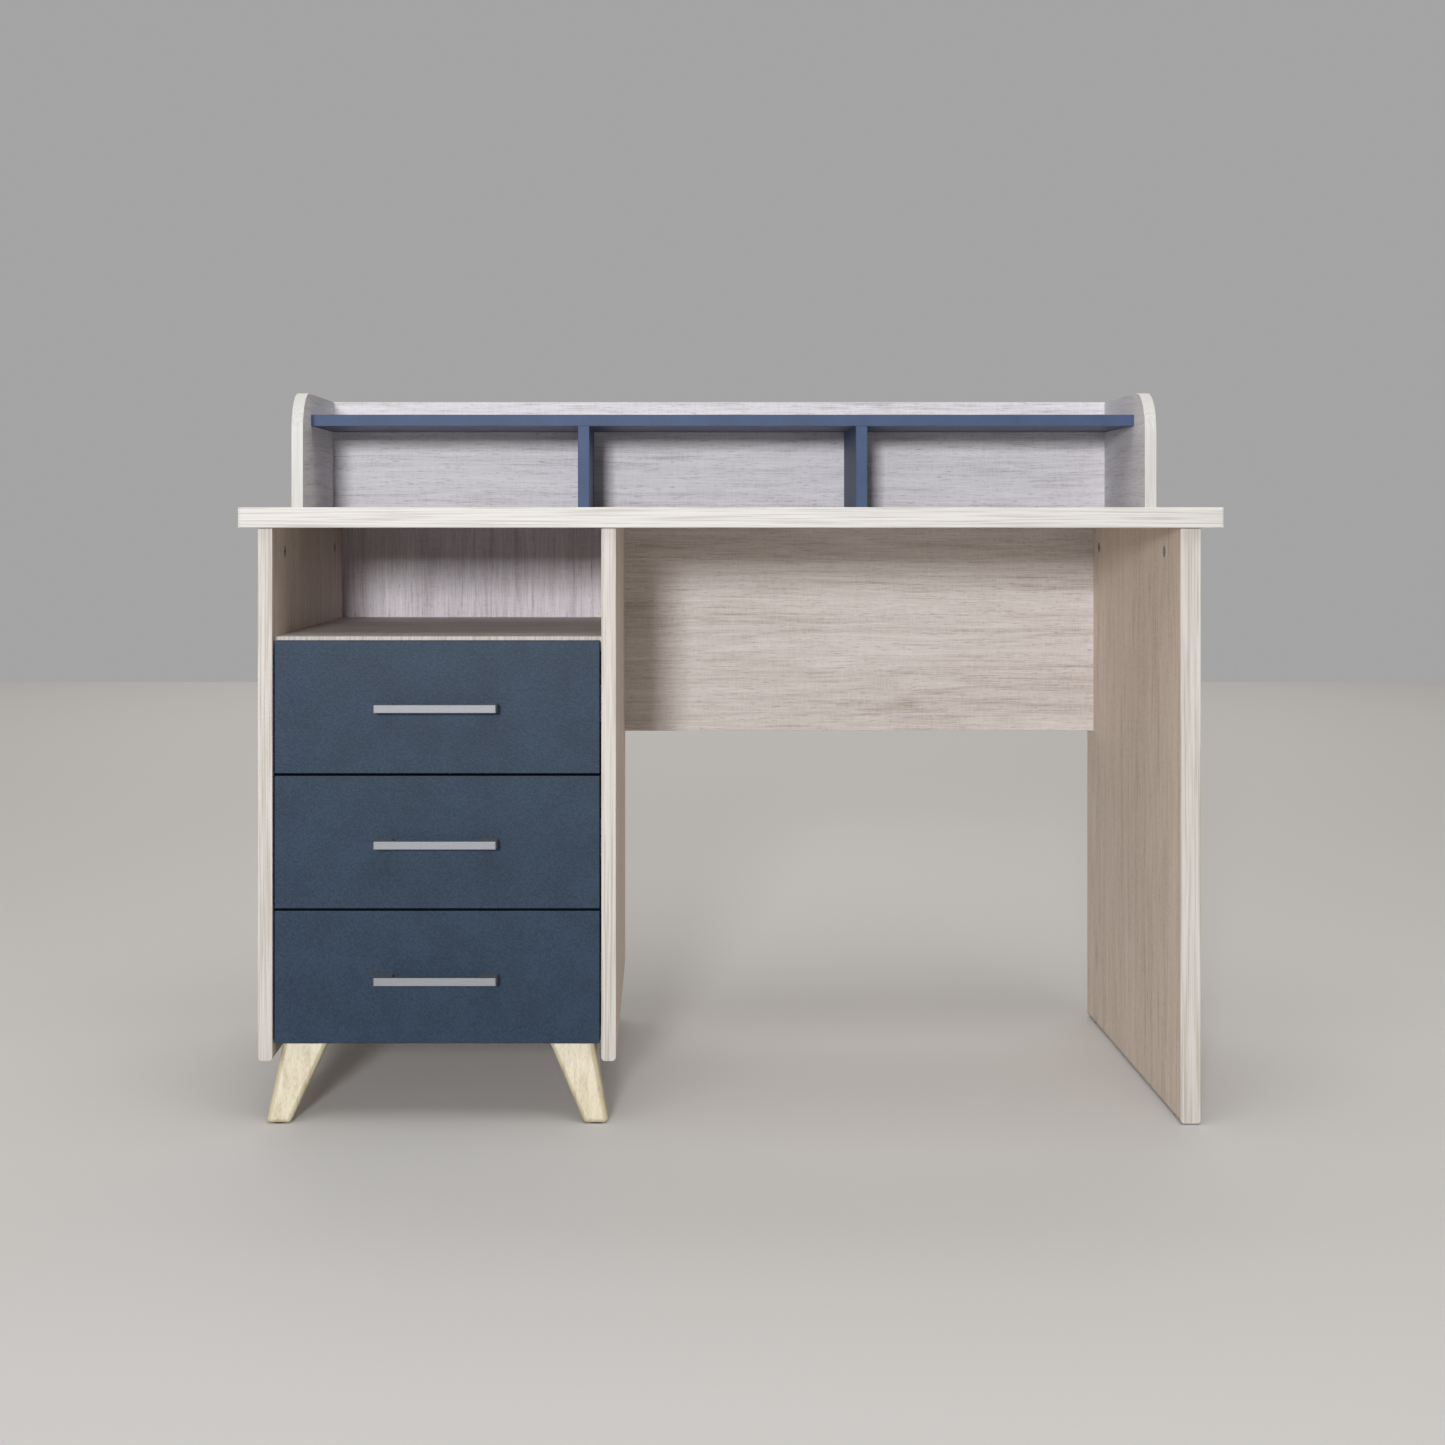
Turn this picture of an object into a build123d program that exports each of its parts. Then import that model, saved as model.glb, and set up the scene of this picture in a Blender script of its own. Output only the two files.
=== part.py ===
"""Writing desk with a three-drawer pedestal and a low hutch, built of flat boards and knock-down fittings.

Frame: +Z up, the drawers face -Y, +X to the right of someone sitting at the desk.
The origin is on the floor, under the middle of the desk's bounding box. Units are millimetres.
"""
import os
from collections import defaultdict

from build123d import *

# ---------------------------------------------------------------- driving dimensions
desk_width = 1200.0
desk_depth = 600.0
desk_height = 755.0  # floor to the writing surface
hutch_height = 161.0  # writing surface to the top of the hutch

board = 18.0  # carcass boards and drawer fronts
thick_board = 25.0  # writing surface and right-hand leg panel
hutch_board = 16.0
thin_board = 3.0  # hardboard backs and drawer bottoms
band = 2.0  # edge banding round the writing surface
thin_band = 1.0  # edge banding on all the other boards
arris = 1.5  # rounding of the writing surface's edges
seam_arris = 0.4  # rounding where two strips of its banding meet
small_arris = 0.8  # rounding of all other shown edges
back_lift = 13.0  # pedestal's back below its bottom board
sole_corner = 5.0  # rounding of the standing edges of upright panels

left_overhang = 22.0  # writing surface past the upright panels
right_overhang = 25.0
front_overhang = 12.0
back_overhang = 8.0
pedestal_opening = 402.0  # clear width between the pedestal's sides
pedestal_side_bottom = 78.0
pedestal_floor = 97.0  # underside of the pedestal's bottom board
cubby_floor = 596.0  # top of the shelf over the drawers
back_inset = 9.0  # hardboard back, in from the rear edges
groove_depth = 6.0
groove_slack = 0.2

modesty_height = 300.0
modesty_inset = 28.0  # in from the rear edges of the upright panels

hutch_setback = 314.0  # hutch sides behind the front of the writing surface
hutch_inset = 10.0  # hutch sides in from the ends of the writing surface
hutch_shelf_setback = 68.0  # shelf and dividers behind the fronts of the hutch sides
hutch_shelf_height = 116.0  # clear height under the hutch shelf
hutch_corner = 55.0
divider_centre = 194.0  # hutch dividers from the middle

drawer_names = ["bottom", "middle", "top"]
front_height = 162.2
front_gap = 3.0  # between drawer fronts
front_side_gap = 2.0
front_recess = 3.0  # drawer fronts behind the fronts of the upright panels
front_bottom = 99.0

box_board = 15.0
box_height = 115.0
box_length = 500.0
box_lift = 26.0  # underside of a drawer box above the underside of its front
box_bottom_lift = 10.0  # drawer bottom above the underside of the box

rail_gap = 12.7  # width that a telescopic rail takes between box and pedestal
rail_length = 495.0
rail_setback = 3.0  # rails behind the backs of the drawer fronts
rail_gauge = 1.2

handle_length = 150.0
handle_centres = 128.0
handle_height = 10.0
handle_bar = 8.0
handle_post = 22.0
handle_reach = 29.0  # handle in front of the drawer front

leg_top_width = 55.0
leg_top_depth = 48.0
leg_foot = 30.0
leg_inset = 27.0  # leg top in from the outside of the pedestal
leg_setback = 19.0  # leg top in from the fronts and backs of the uprights
foot_inset = 9.0  # foot in from the outside of the pedestal
foot_setback = 3.0
leg_rounding = 6.5
pad_thickness = 1.5
pad_radius = 10.0
leg_plate_thickness = 2.0

cam_radius = 7.5
cam_distance = 30.0  # cam centre from the seam that it pulls tight
cam_cover = 3.5  # cam's inner end below the bolt's axis
bolt_hole = 4.0  # in the board that holds the cam
bolt_thread = 2.5
bolt_grip = 11.0  # thread in the other board
dowel_radius = 4.0
dowel_length = 30.0
fit_slack = 0.1  # radial room round fittings
tolerance = 0.1  # for picking edges by their place

# ---------------------------------------------------------------- limits worked out from them
handle_proud = handle_reach - front_recess - front_overhang  # handles in front of the writing surface
y_back = (desk_depth + handle_proud) / 2
y_front = y_back - desk_depth
y_panel_front = y_front + front_overhang
y_panel_back = y_back - back_overhang
x_end = desk_width / 2
z_under = desk_height - thick_board
z_top = desk_height + hutch_height

x_left = left_overhang - x_end
x_left_in = x_left + board
x_centre_in = x_left_in + pedestal_opening
x_centre = x_centre_in + board
x_leg = x_end - right_overhang
x_leg_in = x_leg - thick_board
x_pedestal = (x_left + x_centre) / 2

y_back_panel = y_panel_back - back_inset - thin_board  # front face of the pedestal's back
y_front_face = y_panel_front + front_recess
y_behind_front = y_front_face + board
y_inner = y_behind_front + 1  # front edges of the boards behind the drawer fronts
y_modesty_back = y_panel_back - modesty_inset
y_modesty = y_modesty_back - board

y_hutch = y_front + hutch_setback
y_hutch_panel = y_back - hutch_board
y_hutch_shelf = y_hutch + hutch_shelf_setback
z_hutch_shelf = desk_height + hutch_shelf_height
x_hutch = x_end - hutch_inset
x_hutch_in = x_hutch - hutch_board

front_pitch = front_height + front_gap
z_fronts = [front_bottom + n * front_pitch for n in range(len(drawer_names))]
z_rails = [z + box_lift + box_height / 2 for z in z_fronts]
front_half = pedestal_opening / 2 - front_side_gap
box_half = pedestal_opening / 2 - rail_gap
y_box_back = y_behind_front + box_length
y_rail = y_behind_front + rail_setback

X, Y, Z = Vector(1, 0, 0), Vector(0, 1, 0), Vector(0, 0, 1)

# ---------------------------------------------------------------- fixings, and the holes they need
holes = defaultdict(list)  # board: [(hole's mouth, direction out of it, radius, depth)]
cams = []  # [(mouth, direction out of it, direction from the seam, board thickness)]
cam_bolts = []
dowels = []
hutch_screws = []
plate_screws = []
hanger_bolts = []
rail_screws = []
edge_bands = defaultdict(list)  # node: [its separate strips]


def drill(name, mouth, outward, radius, depth):
    """Notes a hole for cut_holes to make in the named board."""
    holes[name].append((mouth, outward, radius, depth))


def cam_fixing(cam_board, bolt_board, seam, into, face, thickness):
    """A cam lock in cam_board that pulls on a bolt screwed into bolt_board.

    The bolt crosses the joint at seam and runs from there into cam_board. The cam is let into the
    broad side of cam_board that looks towards face.
    """
    mouth = seam + into * cam_distance + face * (thickness / 2)
    drill(cam_board, mouth, face, cam_radius + fit_slack, thickness / 2 + cam_cover + fit_slack)
    drill(cam_board, seam, into * -1, bolt_hole, cam_distance)
    drill(bolt_board, seam, into, bolt_thread + fit_slack, bolt_grip + fit_slack)
    cams.append((mouth, face, into, thickness))
    cam_bolts.append(Plane(origin=seam, z_dir=into))


def dowel_fixing(long_board, short_board, seam, into):
    """A dowel across the joint at seam, two thirds of it in long_board."""
    third = dowel_length / 3
    drill(long_board, seam, into * -1, dowel_radius + fit_slack, 2 * third + 1)
    drill(short_board, seam, into, dowel_radius + fit_slack, third + 1)
    dowels.append(Plane(origin=seam, z_dir=into))


cam_end = 87.0  # cams in from the front and back of an upright panel
shelf_cam_end = 58.0
dowel_step = 32.0  # from a cam to the dowel beside it
modesty_cam_end = 40.0

for name, x, thickness, face in (
    ("pedestal_left_side", (x_left + x_left_in) / 2, board, X),
    ("pedestal_right_side", (x_centre_in + x_centre) / 2, board, X * -1),
    ("leg_panel", (x_leg_in + x_leg) / 2, thick_board, X * -1),
):
    for edge, step in ((y_panel_front, 1), (y_panel_back, -1)):
        seam = Vector(x, edge + step * cam_end, z_under)
        cam_fixing(name, "desktop", seam, Z * -1, face, thickness)
        dowel_fixing(name, "desktop", seam + Y * (step * dowel_step), Z * -1)

pedestal_ends = ((x_left_in, X, "pedestal_left_side"), (x_centre_in, X * -1, "pedestal_right_side"))
for name, z in (("cubby_shelf", cubby_floor - board / 2), ("pedestal_bottom", pedestal_floor + board / 2)):
    for x, into, upright in pedestal_ends:
        for edge, step in ((y_inner, 1), (y_back_panel, -1)):
            seam = Vector(x, edge + step * shelf_cam_end, z)
            cam_fixing(name, upright, seam, into, Z * -1, board)
            dowel_fixing(name, upright, seam + Y * (step * dowel_step), into)

y_modesty_middle = (y_modesty + y_modesty_back) / 2
for x, into, upright in ((x_centre, X, "pedestal_right_side"), (x_leg_in, X * -1, "leg_panel")):
    for edge, step in ((z_under - modesty_height, 1), (z_under, -1)):
        seam = Vector(x, y_modesty_middle, edge + step * modesty_cam_end)
        cam_fixing("modesty_panel", upright, seam, into, Y, board)
        dowel_fixing("modesty_panel", upright, seam + Z * (step * dowel_step), into)
for step in (-1, 1):
    x_third = (x_centre + x_leg_in) / 2 + step * (x_leg_in - x_centre) / 5
    seam = Vector(x_third, y_modesty_middle, z_under)
    cam_fixing("modesty_panel", "desktop", seam, Z * -1, Y, board)
    dowel_fixing("modesty_panel", "desktop", seam + X * (step * dowel_step), Z * -1)

divider_dowel_end = 45.0
for side, name in ((-1, "hutch_left_divider"), (1, "hutch_right_divider")):
    for y in (y_hutch_shelf + divider_dowel_end, y_hutch_panel - divider_dowel_end):
        dowel_fixing(name, "desktop", Vector(side * divider_centre, y, desk_height), Z)
        dowel_fixing(name, "hutch_shelf", Vector(side * divider_centre, y, z_hutch_shelf), Z * -1)

long_screw_radius = 2.5
long_screw_length = 50.0
long_head_radius = 4.6
long_head_depth = 3.5
hutch_screw_inset = 6.8  # clears the upright panels under the writing surface


def long_screw(near_board, far_board, mouth, outward, thickness):
    """A countersunk screw through near_board into the edge of far_board."""
    reach = long_screw_length - thickness + 1
    drill(near_board, mouth, outward, long_screw_radius + fit_slack, thickness + 1)
    drill(near_board, mouth, outward, long_head_radius + fit_slack, long_head_depth)
    drill(far_board, mouth - outward * thickness, outward, long_screw_radius + fit_slack, reach)
    hutch_screws.append(Plane(origin=mouth, z_dir=outward))


y_hutch_panel_middle = (y_hutch_panel + y_back) / 2
for side, name in ((-1, "hutch_left_side"), (1, "hutch_right_side")):
    for y in (y_hutch + 40, y_hutch_panel - 30):
        mouth = Vector(side * (x_hutch - hutch_screw_inset), y, z_under)
        long_screw("desktop", name, mouth, Z * -1, thick_board)
    for y in (y_hutch_shelf + 40, y_hutch_panel - 50):
        mouth = Vector(side * x_hutch, y, z_hutch_shelf + hutch_board / 2)
        long_screw(name, "hutch_shelf", mouth, X * side, hutch_board)
    for z in (desk_height + 35, z_top - 35):
        mouth = Vector(side * x_hutch, y_hutch_panel_middle, z)
        long_screw(name, "hutch_back", mouth, X * side, hutch_board)
for x in (-400, 0, 400):
    mouth = Vector(x, y_hutch_panel_middle, z_under)
    long_screw("desktop", "hutch_back", mouth, Z * -1, thick_board)

hanger_radius = 4.0
hanger_above = 8.0
hanger_below = 32.0
plate_margin = 2.0  # steel plate inside the outline of the leg's top
plate_screw_radius = 2.0
plate_screw_length = 14.0
plate_screw_head = 4.0
plate_screw_edge = 6.5
plate_screw_x = leg_top_width / 2 - plate_margin - plate_screw_edge
plate_screw_y = leg_top_depth / 2 - plate_margin - plate_screw_edge
plate_screw_spots = [(i * plate_screw_x, j * plate_screw_y) for i in (-1, 1) for j in (-1, 1)]
leg_places = {}  # leg: (middle of its top, middle of its foot), each (x, y)
for row, y_sign in (("front", -1), ("rear", 1)):
    for column, x_sign in (("left", -1), ("right", 1)):
        x_outer = x_left if x_sign < 0 else x_centre
        y_outer = y_panel_front if y_sign < 0 else y_panel_back
        top_step = (leg_inset + leg_top_width / 2, leg_setback + leg_top_depth / 2)
        foot_step = (foot_inset + leg_foot / 2, foot_setback + leg_foot / 2)
        top = (x_outer - x_sign * top_step[0], y_outer - y_sign * top_step[1])
        foot = (x_outer - x_sign * foot_step[0], y_outer - y_sign * foot_step[1])
        leg_places[f"leg_{row}_{column}"] = (top, foot)
        seat = Vector(*top, pedestal_floor)
        drill("pedestal_bottom", seat, Z * -1, hanger_radius + fit_slack, hanger_above + 1)
        hanger_bolts.append(Plane(origin=seat, z_dir=Z * -1))
        for x, y in plate_screw_spots:
            spot = seat + X * x + Y * y
            drill("pedestal_bottom", spot, Z * -1, plate_screw_radius + fit_slack, plate_screw_length)
            plate_screws.append(Plane(origin=spot - Z * leg_plate_thickness, z_dir=Z * -1))

rail_screw_radius = 1.8
rail_screw_grip = 11.0
rail_screw_head = 3.2
rail_screw_rise = 1.6
rail_screw_steps = [35.0, 227.0, 451.0]  # from the front end of a rail
for z in z_rails:
    for x, inward, upright in pedestal_ends:
        for step in rail_screw_steps:
            seat = Vector(x, y_rail + step, z)
            drill(upright, seat, inward, rail_screw_radius + fit_slack, rail_screw_grip + 1)
            rail_screws.append(Plane(origin=seat + inward * rail_gauge, z_dir=inward))

# ---------------------------------------------------------------- ways of making and keeping pieces
os.makedirs("parts", exist_ok=True)


def save(part, label):
    """Labels a finished piece and writes it to its own STEP file."""
    part.label = label
    export_step(part, f"parts/{label}.step")


def save_copies(label, *groups):
    """Writes one node of separate solids, from (piece, its places) groups."""
    with BuildPart() as together:
        for piece, places in groups:
            with Locations(*places):
                add(piece)
    save(together.part, label)


def add_block(x, y, z, mode=Mode.ADD):
    """A block between pairs of limits, in the part that is being built."""
    with Locations(((x[0] + x[1]) / 2, (y[0] + y[1]) / 2, (z[0] + z[1]) / 2)):
        Box(x[1] - x[0], y[1] - y[0], z[1] - z[0], mode=mode)


def cut_holes(name):
    """Drills the noted holes in the part that is being built."""
    for mouth, outward, radius, depth in holes[name]:
        with Locations(Plane(origin=mouth, z_dir=outward)):
            Hole(radius, depth)


def turned(outline):
    """A piece turned about +Z from an outline of (radius, height) points that starts on the axis."""
    with BuildPart() as piece:
        with BuildSketch(Plane.XZ):
            with BuildLine():
                Polyline(*outline, close=True)
            make_face()
        revolve(axis=Axis.Z)
    return piece.part


def turned_screw(radius, length, head_radius, head_height, countersunk=0.0):
    """A screw whose head's face, or seat under a raised head, is at height 0, and a cross recess."""
    tip = 1.5 * radius
    dome = 0.4 * head_height
    shank = [(0, -length), (radius * 0.3, -length), (radius, tip - length)]
    if countersunk:
        head = [(radius, -countersunk), (head_radius, 0)]
    else:
        rim = head_height - dome
        head = [(radius, 0), (head_radius, 0), (head_radius, rim), (head_radius - dome, head_height)]
    body = turned(shank + head + [(0, head_height)])
    arm = head_radius * 1.1
    deep = 0.6 * (countersunk or head_height)
    with BuildPart() as screw:
        add(body)
        with Locations((0, 0, head_height)):
            Box(arm, arm / 4, 2 * deep, mode=Mode.SUBTRACT)
            Box(arm / 4, arm, 2 * deep, mode=Mode.SUBTRACT)
    return screw.part


def banded_board(name, x, y, z, bands_node, rounded, corners=None, corner=0.0, outline=None):
    """An upright or level board whose shown edges carry a strip of edge banding.

    x, y and z are the limits with the banding on. rounded lists the banded edges, as the axis and
    end of each, such as ("y", 0) for the front. corners picks the whole board's edges to be rounded
    by corner, and the core inside the banding gets the same corner less the banding's thickness. The
    outlines of the board's faces across the outline axis, or else of its broad faces, lose their
    sharpness.
    """
    limits = {"x": list(x), "y": list(y), "z": list(z)}
    with BuildPart() as whole:
        add_block(x, y, z)
        if corners:
            fillet(corners(whole), corner)
        thin_axis = min(limits, key=lambda key: limits[key][1] - limits[key][0])
        plain_ends = [
            (key, limits[key][end])
            for key in limits
            for end in (0, 1)
            if key != thin_axis and (key, end) not in rounded
        ]
        broad = {"x": Axis.X, "y": Axis.Y, "z": Axis.Z}[thin_axis]
        shown = whole.faces().filter_by(outline or broad).edges()
        for key, value in plain_ends:
            shown = shown.filter_by(lambda edge: abs(getattr(edge.center(), key.upper()) - value) > tolerance)
        fillet(shown, small_arris)
    for key, end in rounded:
        limits[key][end] += thin_band if end == 0 else -thin_band
    with BuildPart() as core:
        add_block(*limits.values())
        if corners:
            fillet(corners(core), corner - thin_band)
    with BuildPart() as strips:
        add(whole.part)
        add(core.part, mode=Mode.SUBTRACT)
    edge_bands[bands_node].append(strips.part)
    return core.part


# ---------------------------------------------------------------- writing surface
with BuildPart() as desktop:
    add_block((band - x_end, x_end - band), (y_front + band, y_back - band), (z_under, desk_height))
    cut_holes("desktop")
save(desktop.part, "desktop")

for axis, x, y, outer in (
    (Axis.Y, (-x_end, band - x_end), (y_front, y_back), 0),
    (Axis.Y, (x_end - band, x_end), (y_front, y_back), -1),
    (Axis.X, (band - x_end, x_end - band), (y_front, y_front + band), 0),
    (Axis.X, (band - x_end, x_end - band), (y_back - band, y_back), -1),
):
    with BuildPart() as strip:
        add_block(x, y, (z_under, desk_height))
        if axis == Axis.Y:
            fillet(strip.faces().sort_by(Axis.X)[outer].edges(), arris)
            fillet(strip.faces().sort_by(Axis.X)[-1 - outer].edges().filter_by(Axis.Z), seam_arris)
        else:
            fillet(strip.edges().filter_by(Axis.X).group_by(Axis.Y)[outer], arris)
            fillet(strip.edges().filter_by(Axis.Z).group_by(Axis.Y)[outer], seam_arris)
    edge_bands["desktop_edge_bands"].append(strip.part)

# ---------------------------------------------------------------- upright panels
back_slot = (y_back_panel - groove_slack / 2, y_back_panel + thin_board + groove_slack / 2)
back_bottom = pedestal_floor - back_lift
slot_height = (back_bottom - groove_slack, z_under + 1)


def standing_edges(piece):
    """The two lower edges of an upright panel."""
    return piece.edges().filter_by(Axis.Y).group_by(Axis.Z)[0]


left_slot = (x_left_in - groove_depth, x_left_in + 1)
right_slot = (x_centre_in - 1, x_centre_in + groove_depth)
upright_depth = (y_panel_front, y_panel_back)
upright_edges = [("y", 0), ("y", 1), ("z", 0)]
for name, x, z_bottom, slot in (
    ("pedestal_left_side", (x_left, x_left_in), pedestal_side_bottom, left_slot),
    ("pedestal_right_side", (x_centre_in, x_centre), pedestal_side_bottom, right_slot),
    ("leg_panel", (x_leg_in, x_leg), pad_thickness, None),
):
    core = banded_board(name, x, upright_depth, (z_bottom, z_under), "carcass_edge_bands", upright_edges,
                        standing_edges, sole_corner, Axis.Y)
    with BuildPart() as upright:
        add(core)
        cut_holes(name)
        if slot:
            add_block(slot, back_slot, slot_height, mode=Mode.SUBTRACT)
    save(upright.part, name)

# ---------------------------------------------------------------- boards between the uprights
pedestal_inside = (x_left_in, x_centre_in)
for name, x, y, z, node, edges in (
    ("cubby_shelf", pedestal_inside, (y_inner, y_back_panel), (cubby_floor - board, cubby_floor),
     "carcass_edge_bands", [("y", 0)]),
    ("pedestal_bottom", pedestal_inside, (y_inner, y_back_panel), (pedestal_floor, pedestal_floor + board),
     "carcass_edge_bands", [("y", 0)]),
    ("modesty_panel", (x_centre, x_leg_in), (y_modesty, y_modesty_back), (z_under - modesty_height, z_under),
     "carcass_edge_bands", [("z", 0)]),
    ("hutch_back", (-x_hutch_in, x_hutch_in), (y_hutch_panel, y_back), (desk_height, z_top),
     "hutch_edge_bands", [("z", 1)]),
    ("hutch_shelf", (-x_hutch_in, x_hutch_in), (y_hutch_shelf, y_hutch_panel),
     (z_hutch_shelf, z_hutch_shelf + hutch_board), "hutch_shelf_edge_bands", [("y", 0)]),
):
    core = banded_board(name, x, y, z, node, edges)
    with BuildPart() as between:
        add(core)
        cut_holes(name)
    save(between.part, name)

with BuildPart() as pedestal_back:
    reach = groove_depth - groove_slack
    add_block((x_left_in - reach, x_centre_in + reach), (y_back_panel, y_back_panel + thin_board),
              (back_bottom, z_under - groove_slack))
save(pedestal_back.part, "pedestal_back")


# ---------------------------------------------------------------- hutch sides and dividers
def upper_front_corner(piece):
    """The big rounded corner of a hutch side."""
    return piece.edges().filter_by(Axis.X).group_by(Axis.Z)[-1].sort_by(Axis.Y)[:1]


for side, name in ((-1, "hutch_left_side"), (1, "hutch_right_side")):
    x = sorted((side * x_hutch, side * x_hutch_in))
    core = banded_board(name, x, (y_hutch, y_back), (desk_height, z_top), "hutch_edge_bands",
                        [("y", 0), ("z", 1)], upper_front_corner, hutch_corner)
    with BuildPart() as hutch_side:
        add(core)
        cut_holes(name)
    save(hutch_side.part, name)

for side, name in ((-1, "hutch_left_divider"), (1, "hutch_right_divider")):
    x = (side * divider_centre - hutch_board / 2, side * divider_centre + hutch_board / 2)
    core = banded_board(name, x, (y_hutch_shelf, y_hutch_panel), (desk_height, z_hutch_shelf),
                        "hutch_shelf_edge_bands", [("y", 0)])
    with BuildPart() as divider:
        add(core)
        cut_holes(name)
    save(divider.part, name)

# ---------------------------------------------------------------- splayed legs and what stands on the floor
leg_sole = pad_thickness
sole_rounding = 4.5
leg_seat = pedestal_floor - leg_plate_thickness
for name, (top, foot) in leg_places.items():
    with BuildPart() as leg:
        with BuildSketch(Plane.XY.offset(leg_sole)):
            with Locations(foot):
                RectangleRounded(leg_foot, leg_foot, leg_rounding)
        with BuildSketch(Plane.XY.offset(leg_seat)):
            with Locations(top):
                RectangleRounded(leg_top_width, leg_top_depth, leg_rounding)
        loft()
        fillet(leg.faces().sort_by(Axis.Z)[0].edges(), sole_rounding)
        with Locations(Plane(origin=(*top, leg_seat), z_dir=(0, 0, 1))):
            Hole(hanger_radius + fit_slack, hanger_below + 1)
    save(leg.part, name)

with BuildPart() as leg_plate:
    Box(leg_top_width - 2 * plate_margin, leg_top_depth - 2 * plate_margin, leg_plate_thickness,
        align=(Align.CENTER, Align.CENTER, Align.MAX))
    with Locations(*plate_screw_spots):
        CounterSinkHole(plate_screw_radius + fit_slack, plate_screw_head + fit_slack, leg_plate_thickness)
    Hole(hanger_radius + 1)
plate_places = [Plane(origin=(*top, leg_seat), z_dir=Z * -1) for top, foot in leg_places.values()]
save_copies("leg_plates", (leg_plate.part, plate_places))

plate_screw = turned_screw(plate_screw_radius, plate_screw_length, plate_screw_head, 0, leg_plate_thickness)
save_copies("leg_plate_screws", (plate_screw, plate_screws))

with BuildPart() as hanger_bolt:
    Cylinder(hanger_radius, hanger_above + hanger_below)
    chamfer(hanger_bolt.edges(), 1)
hanger_places = [place.offset((hanger_below - hanger_above) / 2) for place in hanger_bolts]
save_copies("leg_hanger_bolts", (hanger_bolt.part, hanger_places))

leg_pad = turned([(0, 0), (pad_radius, 0), (pad_radius, pad_thickness), (0, pad_thickness)])
save_copies("leg_pads", (leg_pad, [(*foot, 0) for top, foot in leg_places.values()]))

glide_radius = 10.0
glide_edge = 45.0
x_glide = (x_leg_in + x_leg) / 2
glide_spots = [y_panel_front + glide_edge, y_panel_back - glide_edge]
panel_glide = turned([
    (0, 0), (glide_radius - 0.5, 0), (glide_radius, 0.5), (glide_radius, pad_thickness), (0, pad_thickness),
])
save_copies("panel_glides", (panel_glide, [(x_glide, y, 0) for y in glide_spots]))

# ---------------------------------------------------------------- cams, bolts, dowels and screws
cam_neck = 3.6  # radius of the room that a cam leaves for its bolt
cam_recess = 1.6
cam_groups = []
for thickness in (board, thick_board):
    with BuildPart() as cam:
        Cylinder(cam_radius, thickness / 2 + cam_cover, align=(Align.CENTER, Align.CENTER, Align.MAX))
        chamfer(cam.faces().sort_by(Axis.Z)[-1].edges(), 0.4)
        Box(cam_radius, cam_recess, 4, mode=Mode.SUBTRACT)
        Box(cam_recess, cam_radius, 4, mode=Mode.SUBTRACT)
        with Locations(Location((cam_recess, 0, -thickness / 2), (0, -90, 0))):
            upwards = (Align.CENTER, Align.CENTER, Align.MIN)
            Cylinder(cam_neck, 2 * cam_radius, align=upwards, mode=Mode.SUBTRACT)
    alike = [fixing for fixing in cams if fixing[3] == thickness]
    places = [Plane(origin=mouth, x_dir=into, z_dir=face) for mouth, face, into, size in alike]
    cam_groups.append((cam.part, places))
save_copies("cam_locks", *cam_groups)

bolt_collar = 3.8
bolt_shank = 2.0
bolt_head = 3.2
cam_bolt = turned([
    (0, -bolt_grip), (bolt_thread - 1, -bolt_grip), (bolt_thread, 1 - bolt_grip), (bolt_thread, 0),
    (bolt_collar, 0), (bolt_collar, 2), (bolt_shank, 3), (bolt_shank, cam_distance - 5),
    (bolt_head, cam_distance - 4), (bolt_head, cam_distance), (0, cam_distance + 1),
])
save_copies("cam_bolts", (cam_bolt, cam_bolts))

dowel_low = -dowel_length / 3
dowel_high = 2 * dowel_length / 3
dowel = turned([
    (0, dowel_low), (dowel_radius - 1, dowel_low), (dowel_radius, dowel_low + 1),
    (dowel_radius, dowel_high - 1), (dowel_radius - 1, dowel_high), (0, dowel_high),
])
save_copies("dowels", (dowel, dowels))

hutch_screw = turned_screw(long_screw_radius, long_screw_length, long_head_radius, 0, long_head_depth - 0.5)
save_copies("hutch_screws", (hutch_screw, hutch_screws))

rail_screw = turned_screw(rail_screw_radius, rail_screw_grip + rail_gauge, rail_screw_head, rail_screw_rise)
save_copies("rail_screws", (rail_screw, rail_screws))


# ---------------------------------------------------------------- telescopic rails
def rail_channel(web, flange_end, half_height, lip):
    """Section of one member of a rail, on both sides of the pedestal, centred on the sketch's x axis.

    web and flange_end are distances from the pedestal's wall to the outer side of the web and to the
    free edges of the flanges, which turn in by lip.
    """
    for wall, inward in ((x_left_in, 1), (x_centre_in, -1)):
        middle = (web + flange_end) / 2
        direction = 1 if flange_end > web else -1
        with Locations((wall + inward * (web + direction * rail_gauge / 2), 0)):
            Rectangle(rail_gauge, 2 * half_height)
        x_flange = wall + inward * middle
        with Locations(*[(x_flange, side * (half_height - rail_gauge / 2)) for side in (-1, 1)]):
            Rectangle(abs(flange_end - web), rail_gauge)
        if lip:
            x_lip = wall + inward * (flange_end - direction * rail_gauge / 2)
            with Locations(*[(x_lip, side * (half_height - lip / 2)) for side in (-1, 1)]):
                Rectangle(rail_gauge, lip)


def rail_member(z, web, flange_end, half_height, lip=0.0):
    """The pair of like members of the rails at height z, extruded from front to back."""
    with BuildPart() as pair:
        with BuildSketch(Plane(origin=(0, y_rail, z), x_dir=(1, 0, 0), z_dir=(0, -1, 0))):
            rail_channel(web, flange_end, half_height, lip)
        extrude(amount=-rail_length)
    return pair.part


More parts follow.
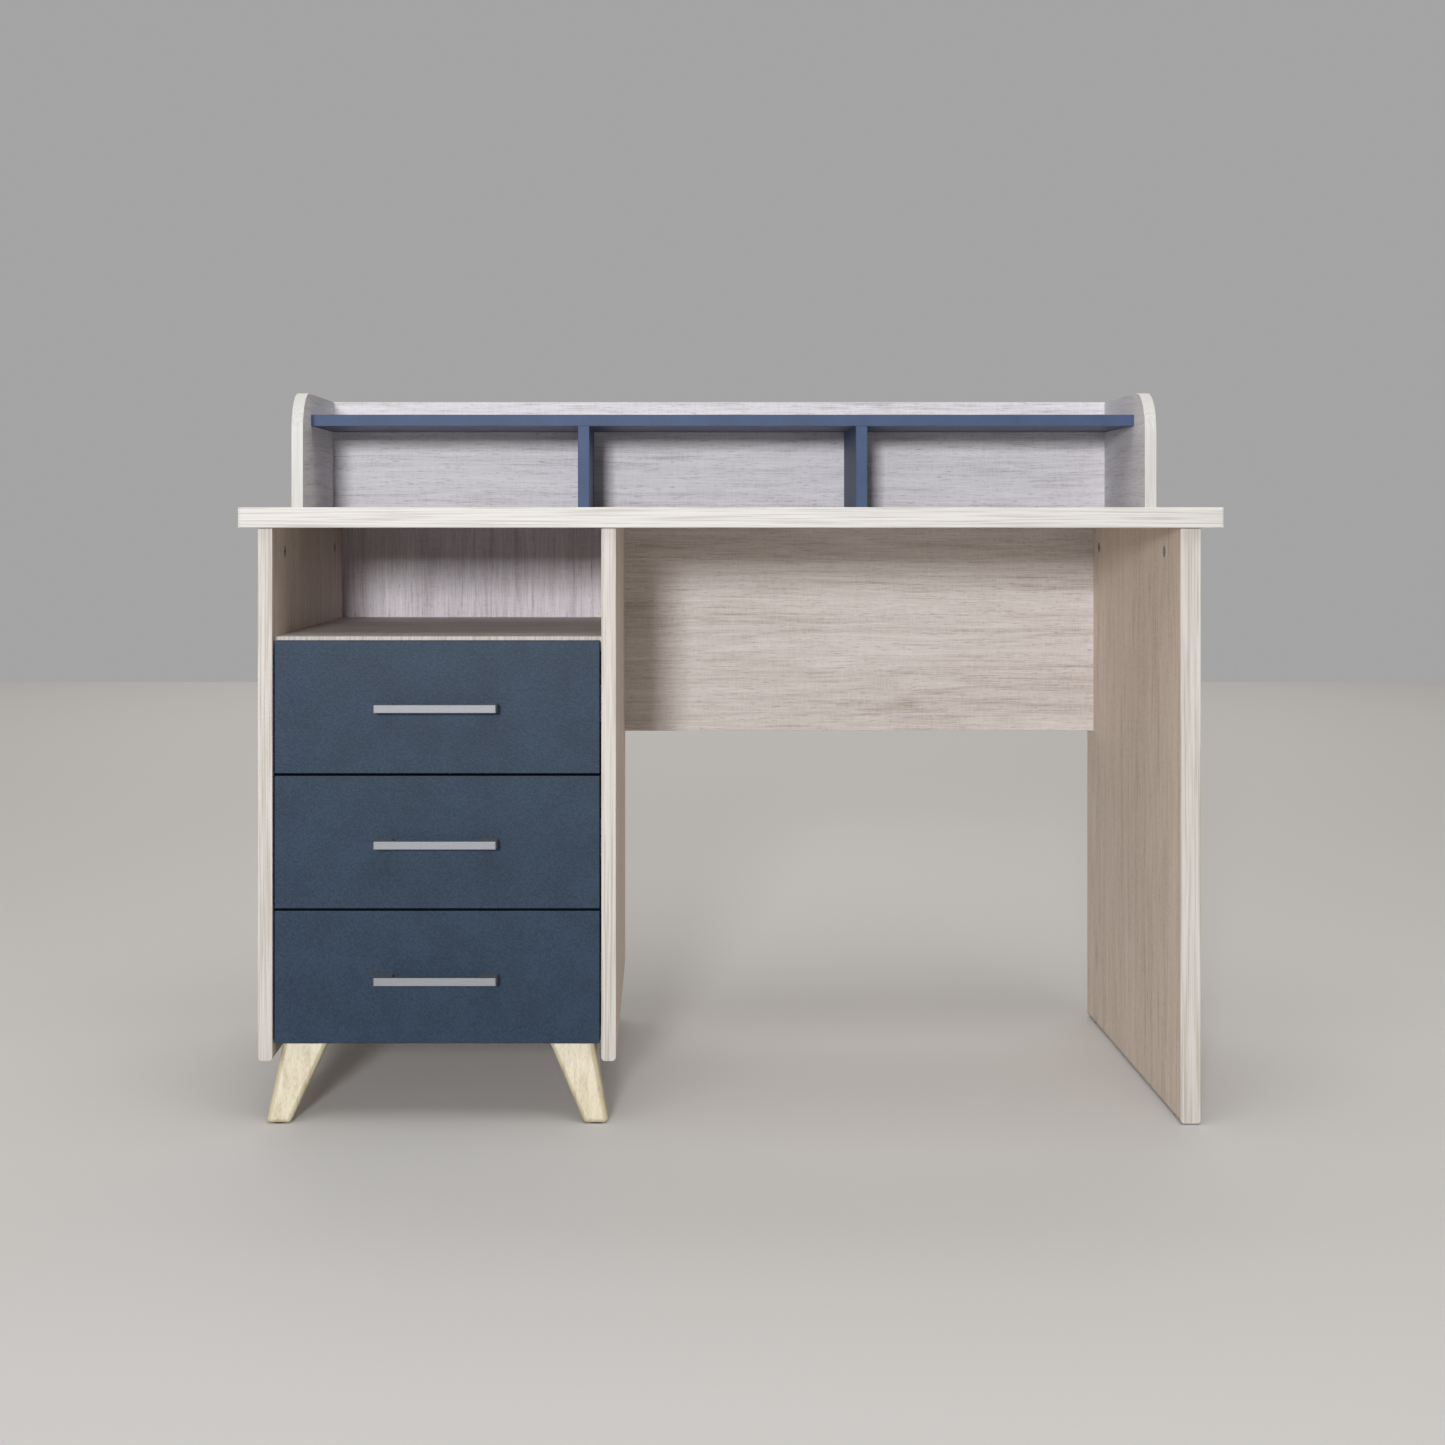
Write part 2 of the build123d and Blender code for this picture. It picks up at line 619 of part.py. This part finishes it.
with BuildPart() as cabinet_rails:
    for z in z_rails:
        add(rail_member(z, 0, 10.5, 22.5, 3.4))
    for place in rail_screws:
        with Locations(place):
            Hole(rail_screw_radius + fit_slack, 2)
save(cabinet_rails.part, "cabinet_rails")

# ---------------------------------------------------------------- drawers
box_left = x_pedestal - box_half
box_right = x_pedestal + box_half
box_inside = (box_left + box_board, box_right - box_board)
handle_rounding = 2.0
handle_arris = 0.8
handle_screw_radius = 2.0
handle_screw_grip = 12.0
handle_screw_head = 4.2
handle_screw_rise = 2.4
box_screw_radius = 2.0
box_screw_head = 3.8
box_screw_length = 40.0

box_screw = turned_screw(box_screw_radius, box_screw_length, box_screw_head, 0, box_screw_radius)
slide_screw = turned_screw(rail_screw_radius, rail_screw_grip, rail_screw_head, rail_screw_rise)
handle_screw_length = board + handle_screw_grip
handle_screw = turned_screw(handle_screw_radius, handle_screw_length, handle_screw_head, handle_screw_rise)

for drawer, z_front, z_rail in zip(drawer_names, z_fronts, z_rails):
    z_box = z_front + box_lift
    z_box_top = z_box + box_height
    z_sheet = z_box + box_bottom_lift
    z_handle = z_front + front_height / 2
    sheet_slot = (z_sheet - groove_slack / 2, z_sheet + thin_board + groove_slack / 2)
    sheet_reach = groove_depth - groove_slack
    handle_holes = [
        Plane(origin=(x_pedestal + side * handle_centres / 2, y_behind_front, z_handle), z_dir=Y)
        for side in (-1, 1)
    ]
    back_holes = [
        Plane(origin=(x, y_box_back - box_board / 2, z_box_top - depth), z_dir=X * outward)
        for x, outward in ((box_left, -1), (box_right, 1))
        for depth in (25, box_height - 40)
    ]
    slide_holes = [
        Plane(origin=(x, y_rail + step, z_rail), z_dir=X * outward)
        for x, outward in ((box_left, -1), (box_right, 1))
        for step in rail_screw_steps
    ]

    with BuildPart() as front:
        add_block((x_pedestal - front_half, x_pedestal + front_half), (y_front_face, y_behind_front),
                  (z_front, z_front + front_height))
        fillet(front.edges(), small_arris)
        add_block((box_inside[0] - groove_depth, box_inside[1] + groove_depth),
                  (y_behind_front - groove_depth, y_behind_front + 1), sheet_slot, mode=Mode.SUBTRACT)
        with Locations(*handle_holes):
            Hole(handle_screw_radius + fit_slack, board + 1)
    save(front.part, f"{drawer}_drawer_front")

    for hand, x, x_slot in (
        ("left", (box_left, box_inside[0]), (box_inside[0] - groove_depth, box_inside[0] + 1)),
        ("right", (box_inside[1], box_right), (box_inside[1] - 1, box_inside[1] + groove_depth)),
    ):
        with BuildPart() as box_side:
            add_block(x, (y_behind_front, y_box_back), (z_box, z_box_top))
            fillet(box_side.edges().filter_by(Axis.Y).group_by(Axis.Z)[-1], small_arris)
            add_block(x_slot, (y_behind_front - 1, y_box_back + 1), sheet_slot, mode=Mode.SUBTRACT)
            with Locations(*[place for place in slide_holes if x[0] - 1 < place.origin.X < x[1] + 1]):
                Hole(rail_screw_radius + fit_slack, rail_screw_grip + 1)
            with Locations(*[place for place in back_holes if x[0] - 1 < place.origin.X < x[1] + 1]):
                CounterSinkHole(box_screw_radius + fit_slack, box_screw_head + fit_slack, box_board + 1)
        save(box_side.part, f"{drawer}_drawer_{hand}_side")

    with BuildPart() as box_back:
        add_block(box_inside, (y_box_back - box_board, y_box_back), (sheet_slot[1], z_box_top))
        fillet(box_back.edges().filter_by(Axis.X).group_by(Axis.Z)[-1], small_arris)
        with Locations(*[place.offset(-box_board) for place in back_holes]):
            Hole(box_screw_radius + fit_slack, box_screw_length - box_board + 1)
    save(box_back.part, f"{drawer}_drawer_back")

    with BuildPart() as sheet:
        add_block((box_inside[0] - sheet_reach, box_inside[1] + sheet_reach),
                  (y_behind_front - sheet_reach, y_box_back), (z_sheet, z_sheet + thin_board))
    save(sheet.part, f"{drawer}_drawer_bottom")

    with BuildPart() as handle:
        with BuildSketch(Plane.XY.offset(z_handle - handle_height / 2)) as bow:
            with Locations((x_pedestal, y_front_face - handle_reach / 2)):
                Rectangle(handle_length, handle_reach)
            fillet(bow.vertices().group_by(Axis.Y)[0], handle_rounding)
            with Locations((x_pedestal, y_front_face - (handle_reach - handle_bar) / 2)):
                Rectangle(handle_length - 2 * handle_post, handle_reach - handle_bar, mode=Mode.SUBTRACT)
            y_handle_inside = y_front_face - handle_reach + handle_bar
            inside = bow.vertices().filter_by(
                lambda vertex: abs(vertex.Y - y_handle_inside) < tolerance
            )
            fillet(inside, handle_rounding)
        extrude(amount=handle_height)
        rims = handle.faces().filter_by(Axis.Z).edges()
        fillet(rims.filter_by(lambda edge: edge.center().Y < y_front_face - tolerance), handle_arris)
        with Locations(*[place.offset(-board) for place in handle_holes]):
            Hole(handle_screw_radius + fit_slack, handle_screw_grip + 1)
    save(handle.part, f"{drawer}_handle")

    save_copies(f"{drawer}_drawer_screws", (handle_screw, handle_holes), (box_screw, back_holes),
                (slide_screw, [place.offset(rail_gauge) for place in slide_holes]))

    with BuildPart() as slides:
        add(rail_member(z_rail, rail_gap, 6.5, 11.0))
        with Locations(*[place.offset(rail_gauge) for place in slide_holes]):
            Hole(rail_screw_radius + fit_slack, 2)
    save(slides.part, f"{drawer}_drawer_rails")

    save(rail_member(z_rail, 4.0, 11.3, 17.0), f"{drawer}_intermediate_rails")

# ---------------------------------------------------------------- edge banding
for label, strips in edge_bands.items():
    save(Compound([solid for strip in strips for solid in strip.solids()]), label)
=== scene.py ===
# %% [markdown]
# # A writing desk with drawers
#
# The desk is a flat-pack one: boards faced with pale oak laminate, blue-grey drawer fronts and shelves,
# satin metal handles and turned-out wooden legs. Its shapes, sizes and moving parts come ready-made
# from the CAD model, and every visible piece is there already, so this script adds what the CAD model
# lacks: the finishes, the light and the camera.

# %% Load the CAD model
import math

import bpy
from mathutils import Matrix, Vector

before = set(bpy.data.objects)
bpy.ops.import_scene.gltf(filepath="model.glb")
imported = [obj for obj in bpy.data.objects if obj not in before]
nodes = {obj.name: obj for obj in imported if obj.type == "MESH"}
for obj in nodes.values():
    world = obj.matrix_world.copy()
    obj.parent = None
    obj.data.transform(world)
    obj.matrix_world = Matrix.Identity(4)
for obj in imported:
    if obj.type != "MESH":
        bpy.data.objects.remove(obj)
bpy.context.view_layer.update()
mm = 0.001

# %% [markdown]
# ## Camera
#
# A desk is best shown straight on: its fronts stay square and its sides fade back evenly. The camera
# stands level, at the height of the writing surface, a little left of the middle. The lens is shifted
# down, as on an architect's camera, so that the legs come into view while the uprights stay parallel.

# %% Camera
camera_left = 77.6 * mm
camera_distance = 2893 * mm
camera_height = 735.7 * mm

camera_data = bpy.data.cameras.new("camera")
camera_data.lens = 53.25
camera_data.sensor_width = 36
camera_data.shift_x = 0.0384
camera_data.shift_y = -0.138
camera = bpy.data.objects.new("camera", camera_data)
camera.location = (-camera_left, -camera_distance, camera_height)
camera.rotation_euler = (math.radians(90), 0, 0)
bpy.context.collection.objects.link(camera)
bpy.context.scene.camera = camera
print("camera at", tuple(camera.location), "lens", camera_data.lens)

# %% [markdown]
# ## Helpers for colours and shader nodes
#
# Colour pickers give sRGB hex values, but a shader adds up light, so every colour is turned to linear
# first. Materials here are node trees, and one small function adds any node: a value is set on the
# socket, another node's output is linked to it, and a colour ramp gets its stops.


# %% Colour and node helpers
def linear(hex_code, alpha=1.0):
    """The linear colour of an sRGB hex value."""
    channels = [int(hex_code[i : i + 2], 16) / 255 for i in (1, 3, 5)]
    curve = [c / 12.92 if c <= 0.04045 else ((c + 0.055) / 1.055) ** 2.4 for c in channels]
    return (*curve, alpha)


def put(tree, kind, inputs=None, stops=(), **settings):
    """Adds a node. Each input is a value for its socket, or another node's output to link to it.

    stops are the (position, hex colour) pairs of a colour ramp.
    """
    made = tree.nodes.new("ShaderNode" + kind)
    for name, value in settings.items():
        setattr(made, name, value)
    for name, value in (inputs or {}).items():
        if isinstance(value, bpy.types.NodeSocket):
            tree.links.new(value, made.inputs[name])
        else:
            made.inputs[name].default_value = value
    if stops:
        elements = made.color_ramp.elements
        while len(elements) < len(stops):
            elements.new(0.5)
        for element, (position, colour) in zip(elements, stops):
            element.position = position
            element.color = linear(colour)
    return made


def new_material(name, colour):
    """A material with a single Principled shader, and the tree to build its pattern in."""
    material = bpy.data.materials.new(name)
    material.use_nodes = True
    tree = material.node_tree
    tree.nodes.clear()
    shader = put(tree, "BsdfPrincipled", {"Base Color": linear(colour)})
    output = put(tree, "OutputMaterial", {"Surface": shader.outputs["BSDF"]})
    output.is_active_output = True
    material.diffuse_color = linear(colour)
    return material, tree, shader


def finish_with(node_names, material):
    """Gives CAD nodes a material in place of the plain one."""
    for name in node_names:
        for slot in nodes[name].material_slots:
            slot.material = material
    print(material.name, "on", len(node_names), "nodes")


print("mid grey #808080 is", round(linear("#808080")[0], 3), "in linear light")

# %% [markdown]
# ## Light and floor
#
# One broad soft source stands in front, a little to the left and only slightly above the writing
# surface, so the desktop's shadow is shallow and the knee space stays readable. One wide overhead panel
# fills in the level faces, another lights the floor behind, and an even, dim room light does the rest.
# The floor is pale and plain.

# %% Light and floor
lights = [
    # name, place, aim, size, watts, colour
    ("window", (-0.93, -6.5, 1.55), (0, 0, 0.55), 0.7, 265.0, "#fdfcff"),
    ("ceiling", (0.0, -1.1, 3.1), (0, 0, 0.55), 2.6, 44.0, "#fffdfa"),
    ("rear_ceiling", (0.0, 6.0, 5.5), (0, 6.0, 0), 8.0, 260.0, "#fffdfa"),
]
for name, place, aim, size, watts, colour in lights:
    light = bpy.data.lights.new(name, "AREA")
    light.shape = "SQUARE"
    light.size = size
    light.energy = watts
    light.color = linear(colour)[:3]
    lamp = bpy.data.objects.new(name, light)
    lamp.location = place
    direction = Vector(aim) - lamp.location
    lamp.rotation_euler = direction.to_track_quat("-Z", "Y").to_euler()
    bpy.context.collection.objects.link(lamp)

world = bpy.data.worlds.new("room")
world.use_nodes = True
tree = world.node_tree
tree.nodes.clear()
room_strength = 0.19
backdrop_strength = 0.66  # what the camera sees behind the floor
room_light = put(tree, "Background", {"Color": linear("#eadfce"), "Strength": room_strength})
backdrop = put(tree, "Background", {"Color": linear("#c6c6c6"), "Strength": backdrop_strength})
seen = put(tree, "LightPath").outputs["Is Camera Ray"]
either = put(tree, "MixShader", {0: seen, 1: room_light.outputs[0], 2: backdrop.outputs[0]})
put(tree, "OutputWorld", {"Surface": either.outputs[0]})
bpy.context.scene.world = world
bpy.context.scene.view_settings.view_transform = "Standard"

bpy.ops.object.select_all(action="DESELECT")
floor_size = 14
bpy.ops.mesh.primitive_plane_add(size=floor_size, location=(0, 0, 0))
floor = bpy.context.object
floor.name = "floor"
floor_paint, tree, shader = new_material("floor_paint", "#dcdcdc")
shader.inputs["Roughness"].default_value = 0.75
floor.data.materials.append(floor_paint)
print("lights:", [name for name, *rest in lights], "floor:", floor_size, "m")

# %% [markdown]
# ## Oak laminate
#
# The boards are particle board faced with printed melamine paper: a pale, limed oak with a brushed
# press. It is matt, its colour is grey-beige, and three things make the eye read oak: broad soft bands
# of tone along the board, narrow wavy growth lines, and thousands of fine streaks and short pores. Faint
# saw marks cross them. A picture of wood would repeat and could not be scaled, so each is a noise
# stretched along the grain, or across it for the saw marks, with its spacing in millimetres. The finest
# real pores are a few tenths of a millimetre wide and would be lost, so they are drawn about a millimetre
# wide. Every board is cut from another part of the pattern.


# %% Oak laminate
def grain_coordinates(tree, grain, across_mm, along_mm, origin):
    """Object coordinates scaled so that one unit is across_mm across the grain and along_mm along it."""
    scale = [1 / (across_mm * mm)] * 3
    scale["XYZ".index(grain)] = 1 / (along_mm * mm)
    place = put(tree, "TexCoord").outputs["Object"]
    moved = put(tree, "VectorMath", {0: place, 1: origin}, operation="ADD").outputs["Vector"]
    return put(tree, "VectorMath", {0: moved, 1: scale}, operation="MULTIPLY").outputs["Vector"]


def oak_laminate(name, grain, origin, light, middle, dark, pore):
    """Limed-oak melamine with its grain along one axis, taken from the pattern at origin."""
    material, tree, shader = new_material(name, middle)

    def layer(across_mm, along_mm, detail, roughness=0.5, bend=0.0):
        """Noise stretched along the grain, and bent sideways by a slow wave where bend isn't 0."""
        place = grain_coordinates(tree, grain, across_mm, along_mm, origin)
        if bend:
            bent = put(tree, "VectorMath", {0: warp, 1: (bend,) * 3, 2: place}, operation="MULTIPLY_ADD")
            place = bent.outputs["Vector"]
        return put(tree, "TexNoise", {
            "Vector": place, "Scale": 1.0, "Detail": detail, "Roughness": roughness,
        }).outputs["Fac"]

    warp = put(tree, "TexNoise", {
        "Vector": grain_coordinates(tree, grain, 70, 480, origin), "Scale": 1.0, "Detail": 2.0,
    }).outputs["Color"]
    broad = layer(40, 900, 2.0)
    growth = layer(7, 260, 3.0, 0.6, bend=6.0)
    streaks = layer(1.7, 70, 4.0, 0.75)
    pores = layer(1.1, 14, 2.0)
    saw_marks = layer(16, 1.6, 2.0)
    tone = put(tree, "Math", {0: broad, 1: 0.20}, operation="MULTIPLY").outputs[0]
    tone = put(tree, "Math", {0: growth, 1: 0.32, 2: tone}, operation="MULTIPLY_ADD").outputs[0]
    tone = put(tree, "Math", {0: streaks, 1: 0.46, 2: tone}, operation="MULTIPLY_ADD").outputs[0]
    tone = put(tree, "Math", {0: saw_marks, 1: 0.12, 2: tone}, operation="MULTIPLY_ADD").outputs[0]
    stops = [(0.42, dark), (0.53, middle), (0.67, light)]
    colour = put(tree, "ValToRGB", {"Fac": tone}, stops).outputs["Color"]
    pore_depth = put(tree, "MapRange", {
        "Value": pores, "From Min": 0.60, "From Max": 0.74, "To Min": 0.0, "To Max": 0.6,
    }).outputs["Result"]
    colour = put(tree, "Mix", {0: pore_depth, 6: colour, 7: linear(pore)}, data_type="RGBA").outputs[2]
    tree.links.new(colour, shader.inputs["Base Color"])

    pressed = put(tree, "Math", {0: streaks, 1: pore_depth}, operation="SUBTRACT").outputs[0]
    bump = put(tree, "Bump", {"Height": pressed, "Distance": 0.08 * mm, "Strength": 0.6})
    tree.links.new(bump.outputs["Normal"], shader.inputs["Normal"])
    rough = put(tree, "MapRange", {"Value": streaks, "To Min": 0.62, "To Max": 0.50}).outputs["Result"]
    tree.links.new(rough, shader.inputs["Roughness"])
    shader.inputs["IOR"].default_value = 1.5
    shader.inputs["Specular IOR Level"].default_value = 0.35
    return material


# Light, middle and dark of the print, and its pores. The print is the same on every board. The uprights
# get warmer tones as painted warm light, the hutch boards lighter, cooler tones as painted cool light,
# and the pedestal's back darker, cooler tones as painted shade.
warm_painted_light_tones = ("#eee1d4", "#decfc1", "#bfad9b", "#95846f")
plain_tones = ("#ddd7d3", "#cbc4bf", "#ab9f94", "#867a6f")
cool_painted_light_tones = ("#eeedf0", "#dedce0", "#b8b3b7", "#908a8d")
cool_painted_shade_tones = ("#ebe6ea", "#d6d0d5", "#afa6aa", "#8a8085")
boards = [
    # node, grain, where in the pattern it is cut from, tones
    ("desktop", "X", (0.0, 0.0, 0.0), plain_tones),
    ("modesty_panel", "X", (3.1, 0.4, 0.2), plain_tones),
    ("hutch_back", "X", (5.7, 1.3, 0.9), cool_painted_light_tones),
    ("pedestal_left_side", "Z", (0.3, 2.2, 4.1), warm_painted_light_tones),
    ("pedestal_right_side", "Z", (1.9, 4.6, 2.7), warm_painted_light_tones),
    ("leg_panel", "Z", (0.8, 7.9, 1.4), warm_painted_light_tones),
    ("hutch_left_side", "Y", (2.5, 0.6, 3.8), cool_painted_light_tones),
    ("hutch_right_side", "Y", (4.4, 2.9, 6.6), cool_painted_light_tones),
    ("cubby_shelf", "X", (7.2, 5.1, 0.5), plain_tones),
    ("pedestal_bottom", "X", (6.3, 9.7, 5.2), plain_tones),
    ("pedestal_back", "Z", (8.8, 3.3, 7.4), cool_painted_shade_tones),
]
for name, grain, origin, tones in boards:
    finish_with([name], oak_laminate(f"oak_laminate_{name}", grain, origin, *tones))

# %% [markdown]
# ## Edge banding
#
# The cut edges of the boards are closed with ABS strips, printed with the same oak but with finer,
# straighter lines, and a shade lighter because the strip is smooth. Its lines run along the edge, so the
# strips of the writing surface, the carcass and the hutch each have a finish of their own. The carcass
# strips are also made a little darker than the others, as painted shade.


# %% Edge banding
def edge_banding(name, grain, light, middle, dark):
    """Smooth oak-printed ABS strip with fine lines along one axis."""
    material, tree, shader = new_material(name, middle)
    lines = put(tree, "TexNoise", {
        "Vector": grain_coordinates(tree, grain, 1.8, 120, (0.7, 1.9, 3.3)), "Scale": 1.0, "Detail": 3.0,
    }).outputs["Fac"]
    stops = [(0.35, dark), (0.5, middle), (0.62, light)]
    colour = put(tree, "ValToRGB", {"Fac": lines}, stops).outputs["Color"]
    tree.links.new(colour, shader.inputs["Base Color"])
    bump = put(tree, "Bump", {"Height": lines, "Distance": 0.02 * mm, "Strength": 0.5})
    tree.links.new(bump.outputs["Normal"], shader.inputs["Normal"])
    shader.inputs["Roughness"].default_value = 0.5
    shader.inputs["Specular IOR Level"].default_value = 0.4
    return material


edge_bands = [
    # edges, run of the lines, light, middle and dark
    ("desktop", "X", ("#d8d7d4", "#d0ceca", "#bebab3")),
    # The carcass strips' darker tones are painted shade.
    ("carcass", "Z", ("#d0cdc8", "#c7c3bc", "#b4aea4")),
    ("hutch", "Z", ("#d6d7d5", "#d0d0cd", "#c6c6c1")),
]
for edges, grain, tones in edge_bands:
    finish_with([f"{edges}_edge_bands"], edge_banding(f"oak_edge_band_{edges}", grain, *tones))

# %% [markdown]
# ## Blue-grey melamine and drawer film
#
# The hutch shelf and dividers are plain blue-grey melamine. The drawer fronts are MDF with a pressed film
# of the same colour, but the film is given a darker tone than the melamine as painted shade, for the
# dimmer light on the lower fronts. Both are matt with a faint orange peel, which shows where light grazes
# it, and a slight speckle in the colour. The real peel of the film is about a millimetre across and would
# not show, so it is drawn twice as coarse.


# %% Blue-grey finishes
def blue_film(name, colour, speckle, peel_mm, peel_depth, roughness):
    """Matt blue-grey film with a fine speckle and an orange-peel surface."""
    material, tree, shader = new_material(name, colour)
    place = put(tree, "TexCoord").outputs["Object"]
    peel_scale = 1 / (peel_mm * mm)
    cloud_scale = 1 / (45 * mm)
    peel = put(tree, "TexNoise", {"Vector": place, "Scale": peel_scale, "Detail": 2.0}).outputs["Fac"]
    cloud = put(tree, "TexNoise", {"Vector": place, "Scale": cloud_scale, "Detail": 3.0}).outputs["Fac"]
    slow = put(tree, "Math", {0: cloud, 1: 0.3}, operation="MULTIPLY").outputs[0]
    mixed = put(tree, "Math", {0: peel, 1: 0.7, 2: slow}, operation="MULTIPLY_ADD").outputs[0]
    tint = put(tree, "ValToRGB", {"Fac": mixed}, [(0.38, speckle), (0.62, colour)]).outputs["Color"]
    tree.links.new(tint, shader.inputs["Base Color"])
    bump = put(tree, "Bump", {"Height": peel, "Distance": peel_depth * mm, "Strength": 0.7})
    tree.links.new(bump.outputs["Normal"], shader.inputs["Normal"])
    shader.inputs["Roughness"].default_value = roughness
    shader.inputs["Specular IOR Level"].default_value = 0.18
    return material


blue_melamine = blue_film("blue_grey_melamine", "#4a5c7e", "#3f506e", 1.2, 0.05, 0.5)
# The drawer film's darker colour is painted shade.
drawer_film_with_painted_shade = blue_film("blue_grey_drawer_film_painted_shade", "#2c4054", "#233243", 2.2, 0.25, 0.44)
blue_boards = ["hutch_shelf", "hutch_left_divider", "hutch_right_divider", "hutch_shelf_edge_bands"]
finish_with(blue_boards, blue_melamine)
drawers = ["bottom", "middle", "top"]
finish_with([f"{drawer}_drawer_front" for drawer in drawers], drawer_film_with_painted_shade)

# %% [markdown]
# ## Solid wood of the legs
#
# The four splayed legs are tapered blocks of pale hardwood such as birch, planed, rounded and
# lacquered. The grain runs down the leg. Birch is close to plain: faint, long lines and a few darker
# flecks under a thin satin lacquer. The dowels hidden in the joints are turned beech, redder and plain.


# %% Leg wood
def lacquered_wood(name, grain, light, middle, dark):
    """Pale lacquered hardwood with long faint grain lines."""
    material, tree, shader = new_material(name, middle)
    figure = put(tree, "TexNoise", {
        "Vector": grain_coordinates(tree, grain, 9, 160, (0.2, 0.5, 0.1)), "Scale": 1.0, "Detail": 3.0,
        "Distortion": 0.6,
    }).outputs["Fac"]
    lines = put(tree, "TexNoise", {
        "Vector": grain_coordinates(tree, grain, 0.9, 45, (0.9, 0.4, 0.3)), "Scale": 1.0, "Detail": 3.0,
    }).outputs["Fac"]
    half = put(tree, "Math", {0: lines, 1: 0.45}, operation="MULTIPLY").outputs[0]
    mixed = put(tree, "Math", {0: figure, 1: 0.55, 2: half}, operation="MULTIPLY_ADD").outputs[0]
    stops = [(0.36, dark), (0.5, middle), (0.64, light)]
    colour = put(tree, "ValToRGB", {"Fac": mixed}, stops).outputs["Color"]
    tree.links.new(colour, shader.inputs["Base Color"])
    bump = put(tree, "Bump", {"Height": lines, "Distance": 0.05 * mm, "Strength": 0.5})
    tree.links.new(bump.outputs["Normal"], shader.inputs["Normal"])
    shader.inputs["Roughness"].default_value = 0.42
    shader.inputs["Coat Weight"].default_value = 0.25
    shader.inputs["Coat Roughness"].default_value = 0.3
    return material


legs = ["leg_front_left", "leg_front_right", "leg_rear_left", "leg_rear_right"]
finish_with(legs, lacquered_wood("lacquered_birch", "Z", "#d4ccb1", "#cac0a1", "#b2a480"))
finish_with(["dowels"], lacquered_wood("turned_beech", "Z", "#d9b88a", "#c9a573", "#b18a58"))

# %% [markdown]
# ## Metal
#
# The handles are satin nickel: brushed lengthwise and then plated, so their highlights are soft and
# drawn out across the brushing. The marks are too fine to part by eye, and only soften the shine. The
# rails, screws and plates are zinc-plated steel, whose skin is duller, a little blue and faintly clouded.
# The cams are zinc castings with a fine grainy skin.


# %% Metals
def metal(name, colour, shade, roughness, grain_mm, bump_depth):
    """A metal whose surface marks are grain_mm along X, Y and Z."""
    material, tree, shader = new_material(name, colour)
    place = put(tree, "TexCoord").outputs["Object"]
    scale = [1 / (size * mm) for size in grain_mm]
    fine = put(tree, "VectorMath", {0: place, 1: scale}, operation="MULTIPLY").outputs["Vector"]
    marks = put(tree, "TexNoise", {"Vector": fine, "Scale": 1.0, "Detail": 3.0}).outputs["Fac"]
    tint = put(tree, "ValToRGB", {"Fac": marks}, [(0.35, shade), (0.65, colour)]).outputs["Color"]
    tree.links.new(tint, shader.inputs["Base Color"])
    spread = put(tree, "MapRange", {
        "Value": marks, "To Min": roughness - 0.06, "To Max": roughness + 0.06,
    }).outputs["Result"]
    tree.links.new(spread, shader.inputs["Roughness"])
    bump = put(tree, "Bump", {"Height": marks, "Distance": bump_depth * mm, "Strength": 0.5})
    tree.links.new(bump.outputs["Normal"], shader.inputs["Normal"])
    shader.inputs["Metallic"].default_value = 1.0
    return material


satin_nickel = metal("satin_nickel", "#94979b", "#83868a", 0.58, (30, 0.35, 0.35), 0.008)
zinc_plate = metal("zinc_plated_steel", "#b9bdc2", "#aab0b6", 0.34, (9, 9, 9), 0.004)
zinc_casting = metal("cast_zinc", "#a5a6a6", "#8b8c8d", 0.5, (0.8, 0.8, 0.8), 0.03)
finish_with([f"{drawer}_handle" for drawer in drawers], satin_nickel)
rails = ["cabinet_rails"]
rails += [f"{drawer}_{member}_rails" for drawer in drawers for member in ("intermediate", "drawer")]
fixings = ["cam_bolts", "hutch_screws", "rail_screws"]
fixings += ["leg_plates", "leg_plate_screws", "leg_hanger_bolts"]
fixings += [f"{drawer}_drawer_screws" for drawer in drawers]
finish_with(rails + fixings, zinc_plate)
finish_with(["cam_locks"], zinc_casting)

# %% [markdown]
# ## Inside the drawers, and underfoot
#
# Drawer boxes are wrapped in a plain pale paper with almost no figure, and their bottoms are thin
# hardboard with a printed face. Felt pads sit under the legs and moulded nylon glides under the
# panel leg.

# %% Drawer boxes, felt and nylon
paper_tones = ("#dcd9d4", "#d3cfc9", "#c3beb6", "#b4aea5")
for grain, parts in (("Y", ("left_side", "right_side")), ("X", ("back",))):
    paper = oak_laminate(f"drawer_box_paper_{grain}", grain, (1.2, 3.4, 5.6), *paper_tones)
    finish_with([f"{drawer}_drawer_{part}" for drawer in drawers for part in parts], paper)
board_tones = ("#cdc7bf", "#bfb8ae", "#aaa196", "#91887c")
hardboard = oak_laminate("printed_hardboard", "Y", (2.2, 6.4, 8.6), *board_tones)
finish_with([f"{drawer}_drawer_bottom" for drawer in drawers], hardboard)


def rough_plain(name, colour, shade, grain_mm, depth, roughness):
    """A plain rough material such as felt or moulded nylon."""
    material, tree, shader = new_material(name, colour)
    place = put(tree, "TexCoord").outputs["Object"]
    scale = 1 / (grain_mm * mm)
    fibre = put(tree, "TexNoise", {"Vector": place, "Scale": scale, "Detail": 4.0}).outputs["Fac"]
    tint = put(tree, "ValToRGB", {"Fac": fibre}, [(0.35, shade), (0.65, colour)]).outputs["Color"]
    tree.links.new(tint, shader.inputs["Base Color"])
    bump = put(tree, "Bump", {"Height": fibre, "Distance": depth * mm, "Strength": 0.8})
    tree.links.new(bump.outputs["Normal"], shader.inputs["Normal"])
    shader.inputs["Roughness"].default_value = roughness
    return material


finish_with(["leg_pads"], rough_plain("pressed_felt", "#4a4540", "#332f2b", 0.5, 0.4, 0.95))
finish_with(["panel_glides"], rough_plain("moulded_nylon", "#2b2b2d", "#232325", 0.8, 0.03, 0.45))
